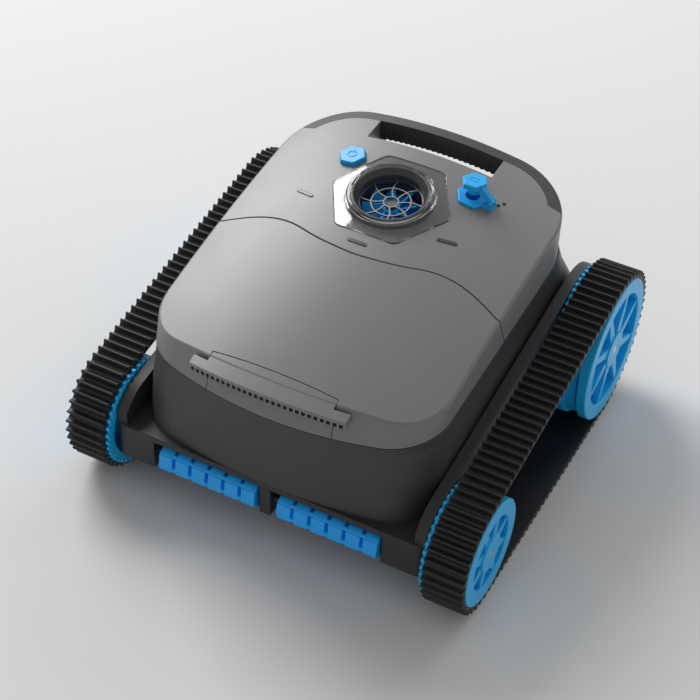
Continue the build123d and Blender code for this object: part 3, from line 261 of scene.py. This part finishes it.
def moulded(
    name, colour, roughness, grain=0.6, bump=0.12, edge_colour=None, edge_radius=0.0006,
    colour_change=0.05, patch=55.0,
):
    """A moulded plastic or rubber. Colours are linear; grain and patch are in millimetres."""
    material, tree, shader = new_material(name)
    tone = use_group(tree, mottle_group, Colour=(*colour, 1), Roughness=roughness)
    tone.inputs["Colour Change"].default_value = colour_change
    tone.inputs["Patch Size"].default_value = patch
    edges = use_group(tree, edge_group, Radius=edge_radius)
    texture = use_group(tree, grain_group, Grain_Size=grain)
    lighter = tree.nodes.new("ShaderNodeMix")
    lighter.data_type = "RGBA"
    # Lighter colour on edges: wear on most pieces, and a painted highlight on the belt's edges.
    edge_wear_and_highlight = edge_colour or [min(1.0, c * 1.5 + 0.01) for c in colour]
    lighter.inputs["B"].default_value = (*edge_wear_and_highlight, 1)
    wire(tree, tone.outputs["Colour"], lighter.inputs["A"])
    strength = math_node(tree, "MULTIPLY", edges.outputs["Edge"], EDGE_WEAR_AND_HIGHLIGHT)
    wire(tree, strength, lighter.inputs["Factor"])
    relief = node(tree, "ShaderNodeBump", Strength=bump, Distance=GRAIN_DEPTH)
    wire(tree, texture.outputs["Height"], relief.inputs["Height"])
    wire(tree, edges.outputs["Normal"], relief.inputs["Normal"])
    wire(tree, lighter.outputs["Result"], shader.inputs["Base Color"])
    wire(tree, tone.outputs["Roughness"], shader.inputs["Roughness"])
    wire(tree, relief.outputs["Normal"], shader.inputs["Normal"])
    return material


shell_grey = moulded(
    "satin_grey_shell", (0.195, 0.194, 0.190), 0.38, grain=0.5, bump=0.05, edge_radius=0.0008,
    colour_change=0.03, patch=90.0,
)
hull_charcoal = moulded(
    "charcoal_hull", (0.043, 0.043, 0.044), 0.46, grain=0.7, bump=0.10, edge_radius=0.0009,
)
chassis_black = moulded(
    "black_chassis", (0.026, 0.026, 0.028), 0.50, grain=0.8, bump=0.12, edge_radius=0.0008,
)
handle_dark = moulded("grained_handle", (0.040, 0.040, 0.041), 0.55, grain=1.0, bump=0.30)
# The belt's light edge colour (0.10 against 0.012) is a painted highlight on the rubber's edges.
belt_rubber = moulded(
    "belt_rubber", (0.012, 0.012, 0.013), 0.46, grain=0.9, bump=0.16,
    edge_colour=(0.10, 0.10, 0.105), edge_radius=0.0005,
)
wiper_rubber = moulded("wiper_rubber", (0.015, 0.015, 0.016), 0.62, grain=1.0, bump=0.2)
wheel_blue = moulded(
    "bright_blue_wheel", (0.011, 0.480, 0.930), 0.36, grain=0.5, bump=0.05, colour_change=0.04,
)
brush_blue = moulded(
    "soft_blue_brush", (0.003, 0.400, 1.000), 0.42, grain=0.7, bump=0.10, colour_change=0.06,
)
control_blue = moulded("glossy_blue_control", (0.012, 0.400, 0.880), 0.34, grain=0.4, bump=0.03)
duct_grey = moulded("smooth_duct", (0.050, 0.050, 0.052), 0.30, grain=0.6, bump=0.04)
impeller_blue = moulded("impeller_blue", (0.006, 0.430, 1.000), 0.40, grain=0.5, bump=0.04)
inner_grey = moulded("inner_grey_plastic", (0.075, 0.075, 0.078), 0.5, grain=0.8, bump=0.1)
seal_rubber = moulded("seal_rubber", (0.02, 0.02, 0.02), 0.7, grain=1.0, bump=0.2)
gear_nylon = moulded("gear_nylon", (0.55, 0.53, 0.47), 0.42, grain=0.6, bump=0.08)
cell_wrap = moulded("cell_wrap", (0.02, 0.12, 0.10), 0.35, grain=0.4, bump=0.05)
board_green = moulded("board_green", (0.01, 0.09, 0.04), 0.35, grain=0.5, bump=0.08)
print("moulded finishes:", len(bpy.data.materials))


# %% [markdown]
# ## Metals
#
# Shafts, pins and screws are plain steel: metallic 1, a roughness that drifts over the surface,
# and a shallow bump of fine scratches. The scratches are noise stretched along X. The grille's
# wires are a warmer, darker metal, so they have their own colour.

# %% Metal finish
SCRATCH_SCALE = (40, 900, 900)
SCRATCH_BUMP = 0.08
SCRATCH_DEPTH = 0.0001


def metal(name, colour, roughness):
    """Scratched metal with uneven roughness and soft edges."""
    material, tree, shader = new_material(name)
    shader.inputs["Metallic"].default_value = 1.0
    tone = use_group(tree, mottle_group, Colour=(*colour, 1), Roughness=roughness, Patch_Size=12.0)
    tone.inputs["Roughness Change"].default_value = 0.18
    edges = use_group(tree, edge_group, Radius=0.0003)
    place = tree.nodes.new("ShaderNodeTexCoord")
    stretch = node(tree, "ShaderNodeMapping", Scale=SCRATCH_SCALE)
    lines = node(tree, "ShaderNodeTexNoise", Scale=1.0, Detail=3.0)
    relief = node(tree, "ShaderNodeBump", Strength=SCRATCH_BUMP, Distance=SCRATCH_DEPTH)
    wire(tree, place.outputs["Object"], stretch.inputs["Vector"])
    wire(tree, stretch.outputs["Vector"], lines.inputs["Vector"])
    wire(tree, lines.outputs["Fac"], relief.inputs["Height"])
    wire(tree, edges.outputs["Normal"], relief.inputs["Normal"])
    wire(tree, tone.outputs["Colour"], shader.inputs["Base Color"])
    wire(tree, tone.outputs["Roughness"], shader.inputs["Roughness"])
    wire(tree, relief.outputs["Normal"], shader.inputs["Normal"])
    return material


steel = metal("turned_steel", (0.62, 0.62, 0.64), 0.28)
motor_can = metal("motor_can", (0.42, 0.42, 0.44), 0.38)
grille_metal = metal("warm_grille_metal", (0.20, 0.19, 0.17), 0.42)
blackened_steel = metal("blackened_steel", (0.10, 0.10, 0.11), 0.50)
gold_contact = metal("gold_contact", (0.90, 0.66, 0.26), 0.22)
print("metals:", [m.name for m in (steel, motor_can, grille_metal, blackened_steel, gold_contact)])


# %% [markdown]
# ## Clear window
#
# The six-sided window over the water outlet is clear plastic with a rolled ring. Full
# transmission with an index of 1.5, a little under that of real polycarbonate, bends what lies
# behind its thick edges, which is what makes its rim sparkle. A little unevenness in the
# roughness keeps it from looking like a perfect lens. The lamps' covers, the mode lenses and the
# filter's weave belong to the same small parts, so their finishes are made here too.

# %% Clear polycarbonate
CLEAR_IOR = 1.5
CLEAR_COLOUR = (0.93, 0.94, 0.95, 1)


def make_clear():
    """Clear moulded polycarbonate."""
    material, tree, shader = new_material("clear_polycarbonate")
    shader.inputs["Transmission Weight"].default_value = 1.0
    shader.inputs["IOR"].default_value = CLEAR_IOR
    tone = use_group(tree, mottle_group, Colour=CLEAR_COLOUR, Roughness=0.035, Patch_Size=25.0)
    tone.inputs["Roughness Change"].default_value = 0.02
    edges = use_group(tree, edge_group, Radius=0.0007)
    wire(tree, tone.outputs["Colour"], shader.inputs["Base Color"])
    wire(tree, tone.outputs["Roughness"], shader.inputs["Roughness"])
    wire(tree, edges.outputs["Normal"], shader.inputs["Normal"])
    return material


clear = make_clear()
lamp_dark = moulded("smoked_lamp", (0.012, 0.016, 0.016), 0.18, grain=0.4, bump=0.02)
lens_grey = moulded("mode_lens", (0.055, 0.055, 0.057), 0.30, grain=0.4, bump=0.03)
mesh_weave = moulded("filter_weave", (0.60, 0.60, 0.58), 0.7, grain=1.2, bump=0.6)
print("clear plastic:", clear.name)


# %% [markdown]
# ## Finishes on the carried-over solids
#
# Solids whose shape is already right keep it and only get their finish. The table pairs the
# start of a node's name with a material. Where several starts fit a name, the longest one wins.

# %% Finish table
finishes = {
    "chassis_tray": chassis_black,
    "hull_shell": hull_charcoal,
    "front_lid": shell_grey,
    "rear_cover": shell_grey,
    "lid_latch": shell_grey,
    "handle_bar": handle_dark,
    "lid_seal": seal_rubber,
    "box_seal": seal_rubber,
    "belt": belt_rubber,
    "skirt_blades": wiper_rubber,
    "wheel_disc": wheel_blue,
    "sprocket": wheel_blue,
    "brush": brush_blue,
    "brush_shaft": chassis_black,
    "brush_bushes": chassis_black,
    "axle_stubs": steel,
    "drive_shaft": steel,
    "drive_gear": gear_nylon,
    "drive_motor": motor_can,
    "motor_pinion": steel,
    "shaft_bushes": gear_nylon,
    "pump_box": inner_grey,
    "box_cover": inner_grey,
    "pump_motor": motor_can,
    "pump_shaft": blackened_steel,
    "battery_pack": cell_wrap,
    "control_board": board_green,
    "impeller": impeller_blue,
    "outlet_window": clear,
    "outlet_duct": duct_grey,
    "outlet_grille": grille_metal,
    "power_button": control_blue,
    "button_spring": steel,
    "button_switch": inner_grey,
    "charge_socket": control_blue,
    "charge_cap": control_blue,
    "charge_pins": gold_contact,
    "status_lamps": lamp_dark,
    "mode_lamps": lens_grey,
    "hinge_pins": steel,
    "latch_pin": steel,
    "housing_screws": steel,
    "filter_basket": inner_grey,
    "filter_mesh": mesh_weave,
    "inlet": inner_grey,
}
for name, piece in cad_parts.items():
    matches = [key for key in finishes if name.startswith(key)]
    if not matches:
        print("no finish for", name)
        continue
    piece.data.materials.clear()
    piece.data.materials.append(finishes[max(matches, key=len)])
print("finished nodes:", len(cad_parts))


# %% [markdown]
# ## The belts' path
#
# A belt wraps a small front wheel and a large rear wheel. Its bottom run is level, its top run
# climbs to the rear. The path is built from the wheels' own boxes: four stretches, two straight
# and two round. `track_point` answers one question: where is the point at length `s` along the
# belt, `out` metres above the belt's inner face?

# %% Track path
def wheel_of(name):
    """Centre (y, z) and radius of a wheel disc."""
    low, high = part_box(name)
    return (low.y + high.y) / 2, (low.z + high.z) / 2, (high.z - low.z) / 2


BELT_FIT = 0.3 * MM
BELT_CORE = 2.0 * MM
FIN_HEIGHT = 5.5 * MM
FIN_PITCH = 9.2 * MM
front_y, front_z, front_r = wheel_of("wheel_disc_front_right")
rear_y, rear_z, rear_r = wheel_of("wheel_disc_rear_right")
front_r += BELT_FIT
rear_r += BELT_FIT
wheelbase = rear_y - front_y
climb = 2 * math.atan2(rear_r - front_r, wheelbase)
rear_arc = (rear_r + BELT_CORE) * (math.pi + climb)
front_arc = (front_r + BELT_CORE) * (math.pi - climb)
belt_length = 2 * wheelbase + rear_arc + front_arc
fin_count = round(belt_length / FIN_PITCH)


def track_point(s, out):
    """(y, z) at length s along the belt, out metres from its inner face."""
    s %= belt_length
    if s < wheelbase:
        return front_y + s, front_z - front_r - out
    s -= wheelbase
    if s < rear_arc:
        angle = -math.pi / 2 + s / (rear_r + BELT_CORE)
        return rear_y + (rear_r + out) * math.cos(angle), rear_z + (rear_r + out) * math.sin(angle)
    s -= rear_arc
    angle = math.pi / 2 + climb
    if s < wheelbase:
        y = rear_y + (rear_r + out) * math.cos(angle) - s * math.cos(climb)
        z = rear_z + (rear_r + out) * math.sin(angle) - s * math.sin(climb)
        return y, z
    s -= wheelbase
    angle += s / (front_r + BELT_CORE)
    return front_y + (front_r + out) * math.cos(angle), front_z + (front_r + out) * math.sin(angle)


print("belt length in mm:", round(belt_length / MM, 1), "fins:", fin_count)


# %% [markdown]
# ## Belts
#
# The real belt is soft rubber with tall thin fins and scooped valleys between them. A fin's
# profile is a short round tip that falls away in a curve, so the profile below is sampled more
# finely near the tip. The same stations along the path make the outer face, the inner face and
# both sides, which gives a clean closed strip of quads. A bevel then rounds the long edges,
# where rubber catches the light.

# %% Finished meshes
BEVEL_SEGMENTS = 2
BEVEL_ANGLE = math.radians(60)


def finish_mesh(name, mesh, body, material, replaces, bevel=None, sharp=40.0):
    """Turn a bmesh into a smooth-shaded piece that rides on a body."""
    data = bpy.data.meshes.new(name)
    mesh.to_mesh(data)
    mesh.free()
    piece = bpy.data.objects.new(name, data)
    bpy.context.scene.collection.objects.link(piece)
    data.materials.append(material)
    data.shade_smooth()
    data.set_sharp_from_angle(angle=math.radians(sharp))
    if bevel:
        edge = piece.modifiers.new("rounded_edges", "BEVEL")
        edge.width = bevel
        edge.segments = BEVEL_SEGMENTS
        edge.limit_method = "ANGLE"
        edge.angle_limit = BEVEL_ANGLE
        edge.harden_normals = False
    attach(piece, body)
    if replaces:
        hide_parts(*replaces)
    return piece


# %% Belt mesh
FIN_HALF = 4.55 * MM
BELT_BEVEL = 0.35 * MM


def fin_profile():
    """Stations across one fin: (distance from its middle, height), in metres."""
    stations = [(0.0, 1.0), (0.55, 0.985), (0.9, 0.93), (1.15, 0.80), (1.45, 0.60)]
    stations += [(1.85, 0.40), (2.4, 0.22), (3.1, 0.09), (3.9, 0.02)]
    right = [(d * MM, h * FIN_HEIGHT) for d, h in stations]
    left = [(-d, h) for d, h in reversed(right[1:])]
    return [(-FIN_HALF, 0.0)] + left + right


def build_belt(name, body):
    """Closed belt with rounded fins, replacing the plain solid."""
    low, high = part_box(name)
    pitch = belt_length / fin_count
    profile = fin_profile()
    mesh = bmesh.new()
    rings = []
    for fin in range(fin_count):
        middle = wheelbase / 2 + fin * pitch
        for offset, height in profile:
            s = middle + offset * pitch / FIN_PITCH
            outer = track_point(s, BELT_CORE + height)
            inner = track_point(s, 0.0)
            ring = [
                mesh.verts.new((low.x, *outer)),
                mesh.verts.new((high.x, *outer)),
                mesh.verts.new((high.x, *inner)),
                mesh.verts.new((low.x, *inner)),
            ]
            rings.append(ring)
    for index, ring in enumerate(rings):
        following = rings[(index + 1) % len(rings)]
        for side in range(4):
            after = (side + 1) % 4
            mesh.faces.new((ring[side], ring[after], following[after], following[side]))
    bmesh.ops.recalc_face_normals(mesh, faces=mesh.faces)
    return finish_mesh(name + "_rubber", mesh, body, belt_rubber, [name], bevel=BELT_BEVEL)


for side in ("right", "left"):
    belt = build_belt("belt_" + side, "chassis")
    print(belt.name, len(belt.data.vertices), "vertices")


# %% [markdown]
# ## Brush rollers
#
# Each roller is a soft sleeve with six flat paddles. A paddle is cut by narrow slits that start
# at its outer edge and stop before its root, so that a continuous strip holds the fingers
# together. Two cross-sections with the same number of points, one whole and one slit, take turns
# along the roller, and quads join them.

# %% Brush mesh
BRUSH_R = 16.0 * MM
BRUSH_SLIT_R = 8.6 * MM
BRUSH_SLIT = 3.4 * MM
BRUSH_SLITS = 5
BRUSH_TURN = math.radians(142)
BRUSH_PADDLES = 6
PADDLE_DEGREES = 360 / BRUSH_PADDLES
PADDLE_SHARES = (0.02, 0.10, 0.30, 0.52, 0.72, 0.76, 0.90, 0.985)
SLIT_SHARE = 0.74
TIP_SHARE = 0.98
TIP_STEP = 1.1 * MM
BRUSH_BEVEL = 0.5 * MM
BRUSH_SHARP = 30.0


def brush_section(slit):
    """Radius and angle of the points round one roller, whole or slit."""
    points = []
    half_paddle = math.radians(PADDLE_DEGREES / 2)
    flat = BRUSH_R * math.cos(half_paddle)
    for paddle in range(BRUSH_PADDLES):
        start = BRUSH_TURN + math.radians(PADDLE_DEGREES * paddle)
        for share in PADDLE_SHARES:
            turn = math.radians(PADDLE_DEGREES * share)
            radius = flat / math.cos(turn - half_paddle)
            if slit and share < SLIT_SHARE:
                radius = BRUSH_SLIT_R
            if share > TIP_SHARE:
                radius -= TIP_STEP
            points.append((radius, start + turn))
    return points


def build_brush(name):
    """Slit paddle roller, replacing the plain solid."""
    low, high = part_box(name)
    shaft_low, shaft_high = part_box("brush_shaft")
    middle_y = (shaft_low.y + shaft_high.y) / 2
    middle_z = (shaft_low.z + shaft_high.z) / 2
    width = (high.x - low.x - BRUSH_SLITS * BRUSH_SLIT) / (BRUSH_SLITS + 1)
    stations = []
    x = low.x
    for index in range(BRUSH_SLITS + 1):
        stations += [(x, False), (x + width, False)]
        x += width
        if index < BRUSH_SLITS:
            stations += [(x, True), (x + BRUSH_SLIT, True)]
            x += BRUSH_SLIT
    mesh = bmesh.new()
    rings = []
    for x, slit in stations:
        ring = []
        for radius, angle in brush_section(slit):
            y = middle_y + radius * math.cos(angle)
            ring.append(mesh.verts.new((x, y, middle_z + radius * math.sin(angle))))
        rings.append(ring)
    for ring, following in zip(rings, rings[1:]):
        for index, vert in enumerate(ring):
            after = (index + 1) % len(ring)
            mesh.faces.new((vert, ring[after], following[after], following[index]))
    mesh.faces.new(rings[0])
    mesh.faces.new(rings[-1])
    bmesh.ops.remove_doubles(mesh, verts=mesh.verts, dist=1e-6)
    bmesh.ops.recalc_face_normals(mesh, faces=mesh.faces)
    return finish_mesh(
        name + "_sleeve", mesh, "brush_roller", brush_blue, [name], bevel=BRUSH_BEVEL, sharp=BRUSH_SHARP,
    )


for side in ("right", "left"):
    brush = build_brush("brush_" + side)
    print(brush.name, len(brush.data.vertices), "vertices")


# %% [markdown]
# ## Grip slots of the latch
#
# The lip of the lid's latch has a row of finger-grip slots. From above they read as a dark dotted
# line, because no light reaches their floors. Black matt blocks, painted shade, sit in the slots
# just behind the lip's face and follow its gentle bow, so the row stays dark. Their height follows
# the crown of the lid, which is an arc across the cleaner swept along a much larger arc from front to
# rear.

# %% Grip slots
LIP_HALF = 71.4 * MM
LIP_BOW = 380.5 * MM
LIP_CENTRE_Y = 185.6 * MM
SLOT_COUNT = 27
SLOT_SIZE = (3.3 * MM, 3.0 * MM, 3.9 * MM)
SLOT_INSET = 1.65 * MM
SLOT_DROP = 3.75 * MM
CROWN_ACROSS_R = 476 * MM
CROWN_ALONG_R = 1458 * MM
CROWN_TOP_Y = 225.4 * MM
CROWN_TOP_Z = 249.6 * MM
# Near-black matt colour for the blocks in the grip slots: painted shade, not the lid's colour.
slot_painted_shade = moulded("slot_painted_shade", (0.004, 0.004, 0.004), 0.9, grain=1.0, bump=0.1)


def crown_z(x, y):
    """Height of the lid's crown at a place."""
    drop = CROWN_ACROSS_R - math.sqrt(CROWN_ACROSS_R**2 - x**2)
    reach = CROWN_ALONG_R - drop
    return CROWN_TOP_Z - CROWN_ALONG_R + math.sqrt(reach**2 - (y - CROWN_TOP_Y) ** 2)


def build_slots():
    """Black blocks in the latch's grip slots: painted shade where no light reaches."""
    width, depth, height = SLOT_SIZE
    mesh = bmesh.new()
    for index in range(SLOT_COUNT):
        x = (index / (SLOT_COUNT - 1) * 2 - 1) * LIP_HALF
        y = LIP_CENTRE_Y - math.sqrt(LIP_BOW**2 - x**2)
        top = crown_z(x, y) - SLOT_DROP
        turn = math.atan2(x, LIP_BOW)
        for vert in bmesh.ops.create_cube(mesh, size=1.0)["verts"]:
            across = vert.co.x * width
            inward = vert.co.y * depth + SLOT_INSET
            vert.co.x = x + across * math.cos(turn) - inward * math.sin(turn)
            vert.co.y = y + across * math.sin(turn) + inward * math.cos(turn)
            vert.co.z = top + (vert.co.z * height - height / 2)
    return finish_mesh("latch_slot_shade_blocks", mesh, "latch_body", slot_painted_shade, [])


slots = build_slots()
print(slots.name, len(slots.data.vertices), "vertices")


# %% [markdown]
# ## Studio
#
# A pale seamless floor, a big soft light from the upper left and behind, a much weaker one from
# behind, and an even pale sky. The key light is large compared with the cleaner, so the shadow
# that falls to the lower right on the floor has a soft border.

# %% Floor
FLOOR_REACH = 14.0
FLOOR_CORNERS = ((-1, -1), (1, -1), (1, 1), (-1, 1))
FLOOR_COLOUR = (0.73, 0.73, 0.725, 1)


def make_floor():
    """Plain pale floor."""
    mesh = bmesh.new()
    corners = [mesh.verts.new((x * FLOOR_REACH, y * FLOOR_REACH, 0)) for x, y in FLOOR_CORNERS]
    mesh.faces.new(corners)
    data = bpy.data.meshes.new("studio_floor")
    mesh.to_mesh(data)
    mesh.free()
    floor = bpy.data.objects.new("studio_floor", data)
    bpy.context.scene.collection.objects.link(floor)
    material, tree, shader = new_material("pale_floor")
    tone = use_group(tree, mottle_group, Colour=FLOOR_COLOUR, Roughness=0.9, Patch_Size=400.0)
    tone.inputs["Colour Change"].default_value = 0.01
    wire(tree, tone.outputs["Colour"], shader.inputs["Base Color"])
    wire(tree, tone.outputs["Roughness"], shader.inputs["Roughness"])
    shader.inputs["Specular IOR Level"].default_value = 0.15
    data.materials.append(material)
    return floor


floor = make_floor()
print("floor:", floor.name)


# %% Lights
KEY_PLACE = (-3.35, 2.10, 3.05)
KEY_SIZE = (2.6, 2.6)
KEY_WATTS = 210
BACK_PLACE = (0.6, 3.2, 2.6)
BACK_SIZE = (2.0, 1.2)
BACK_WATTS = 22
SKY_STRENGTH = 0.42


def area_light(name, place, aim, size, power):
    """Large soft light at a place, turned towards a point."""
    data = bpy.data.lights.new(name, "AREA")
    data.shape = "RECTANGLE"
    data.size, data.size_y = size
    data.energy = power
    lamp = bpy.data.objects.new(name, data)
    lamp.location = place
    lamp.rotation_mode = "QUATERNION"
    lamp.rotation_quaternion = (Vector(aim) - Vector(place)).to_track_quat("-Z", "Y")
    bpy.context.scene.collection.objects.link(lamp)
    return lamp


centre = (cad_low + cad_high) / 2
key = area_light("key_softbox", KEY_PLACE, centre, KEY_SIZE, KEY_WATTS)
back = area_light("back_softbox", BACK_PLACE, centre, BACK_SIZE, BACK_WATTS)
world = bpy.data.worlds.new("studio_sky")
bpy.context.scene.world = world
world.use_nodes = True
sky = world.node_tree.nodes["Background"]
sky.inputs["Color"].default_value = (1.0, 1.0, 1.0, 1)
sky.inputs["Strength"].default_value = SKY_STRENGTH
bpy.context.scene.view_settings.view_transform = "Standard"
print("lights:", key.name, back.name)


# %% [markdown]
# ## Camera
#
# The picture is taken from above the front right corner with a long lens. The place and the
# point it looks at are given in the cleaner's frame; a small roll tilts the picture as a hand
# would.

# %% Camera
CAMERA_PLACE = Vector((0.5463, -1.1191, 1.1849))
CAMERA_AIM = Vector((0.01553, -0.0657, 0.14432))
CAMERA_ROLL = math.radians(2.23)
LENS = 90.8
SENSOR_WIDTH = 36.0

camera_data = bpy.data.cameras.new("studio_camera")
camera_data.lens = LENS
camera_data.sensor_width = SENSOR_WIDTH
camera_data.dof.use_dof = False
camera = bpy.data.objects.new("studio_camera", camera_data)
camera.location = CAMERA_PLACE
camera.rotation_mode = "QUATERNION"
look = (CAMERA_AIM - CAMERA_PLACE).to_track_quat("-Z", "Y")
camera.rotation_quaternion = look @ Euler((0, 0, CAMERA_ROLL)).to_quaternion()
bpy.context.scene.collection.objects.link(camera)
bpy.context.scene.camera = camera
print("camera at", [round(v, 3) for v in camera.location])
